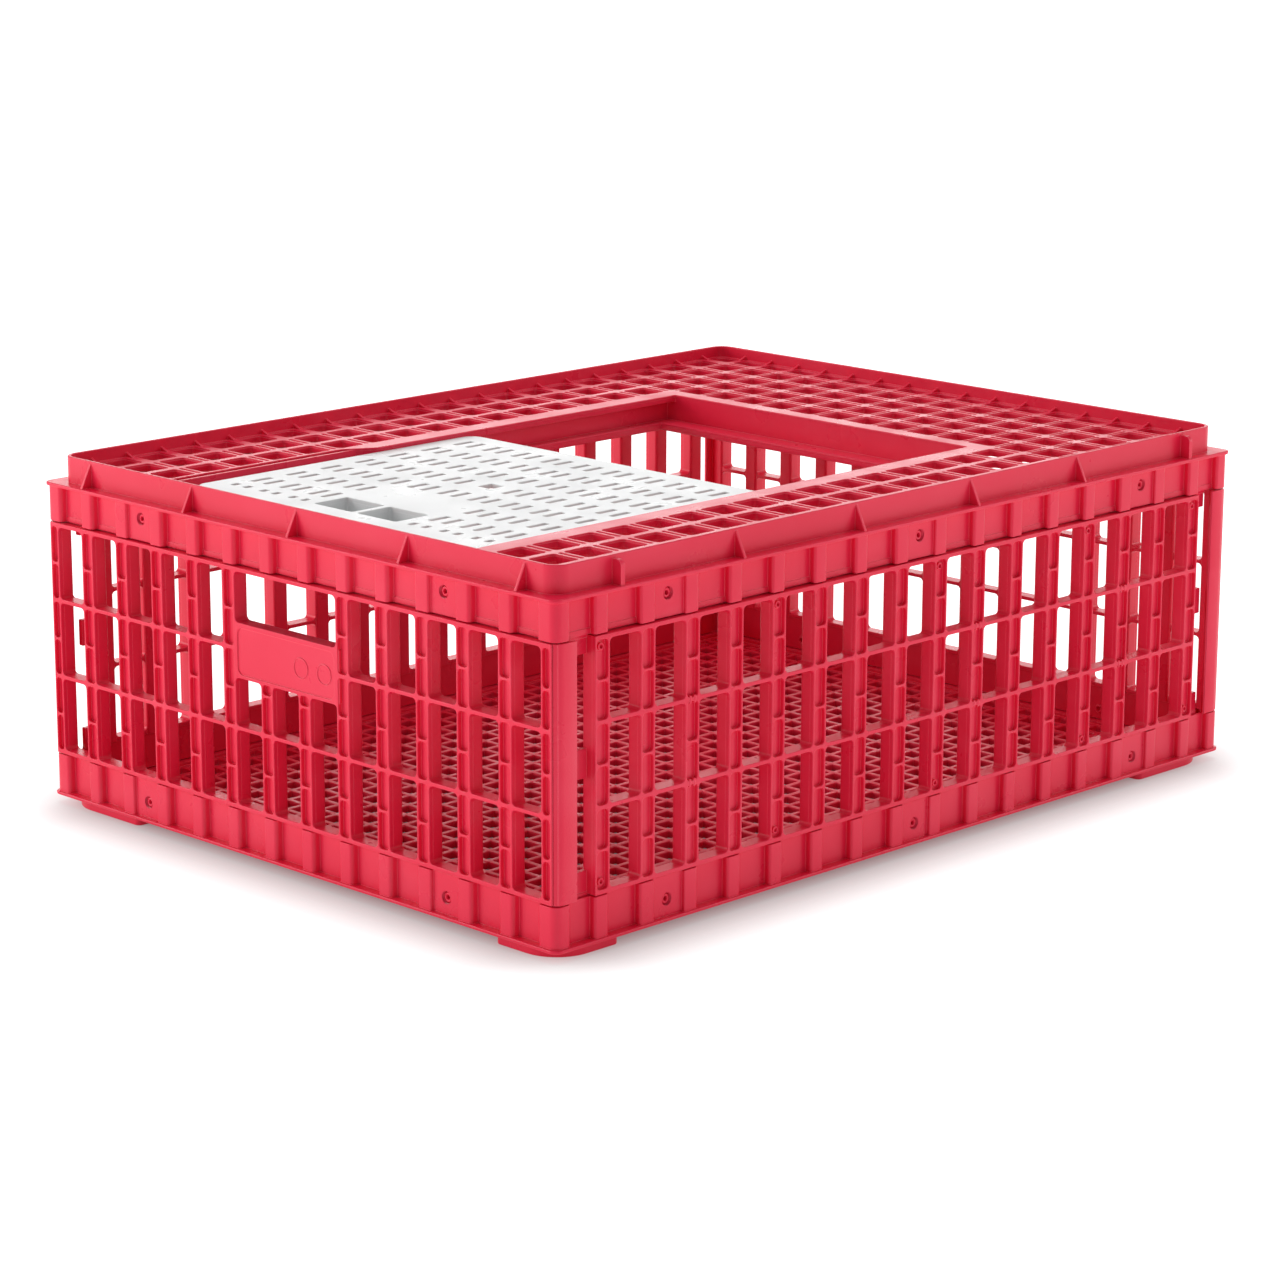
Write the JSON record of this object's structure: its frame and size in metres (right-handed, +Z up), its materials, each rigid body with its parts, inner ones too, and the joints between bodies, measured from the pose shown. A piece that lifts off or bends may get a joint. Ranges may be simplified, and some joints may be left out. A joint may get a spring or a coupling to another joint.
{
  "type": "poultry transport crate",
  "caption": "Ventilated live-poultry transport crate: mesh floor, slatted walls, riveted corner-to-corner bands, grid top and a sliding top door.",
  "frame": {"origin": "centre of the footprint, on the ground", "axes": "+X along the crate from the door's closed end to the fixed grid end, +Y across it, +Z up"},
  "size_m": [0.8, 0.6, 0.2935],
  "materials": {
    "red_polyethylene": "satin moulded polyethylene",
    "white_polyethylene": "satin moulded polyethylene"
  },
  "bodies": {
    "crate": {"base_tray": "red_polyethylene", "top_frame": "red_polyethylene", "long_wall_front": "red_polyethylene", "long_wall_rear": "red_polyethylene", "end_wall_left": "red_polyethylene", "end_wall_right": "red_polyethylene", "rivet_front_low_1": "red_polyethylene", "rivet_front_low_2": "red_polyethylene", "rivet_front_low_3": "red_polyethylene", "rivet_rear_low_1": "red_polyethylene", "rivet_rear_low_2": "red_polyethylene", "rivet_rear_low_3": "red_polyethylene", "rivet_left_low_1": "red_polyethylene", "rivet_left_low_2": "red_polyethylene", "rivet_right_low_1": "red_polyethylene", "rivet_right_low_2": "red_polyethylene", "rivet_front_high_1": "red_polyethylene", "rivet_front_high_2": "red_polyethylene", "rivet_front_high_3": "red_polyethylene", "rivet_rear_high_1": "red_polyethylene", "rivet_rear_high_2": "red_polyethylene", "rivet_rear_high_3": "red_polyethylene", "rivet_left_high_1": "red_polyethylene", "rivet_left_high_2": "red_polyethylene", "rivet_right_high_1": "red_polyethylene", "rivet_right_high_2": "red_polyethylene"},
    "door": {"sliding_door": "white_polyethylene"}
  },
  "joints": [
    {"name": "door_slide", "type": "slide", "parent": "crate", "child": "door", "axis": [1, 0, 0], "range_m": [0, 0.245]}
  ]
}
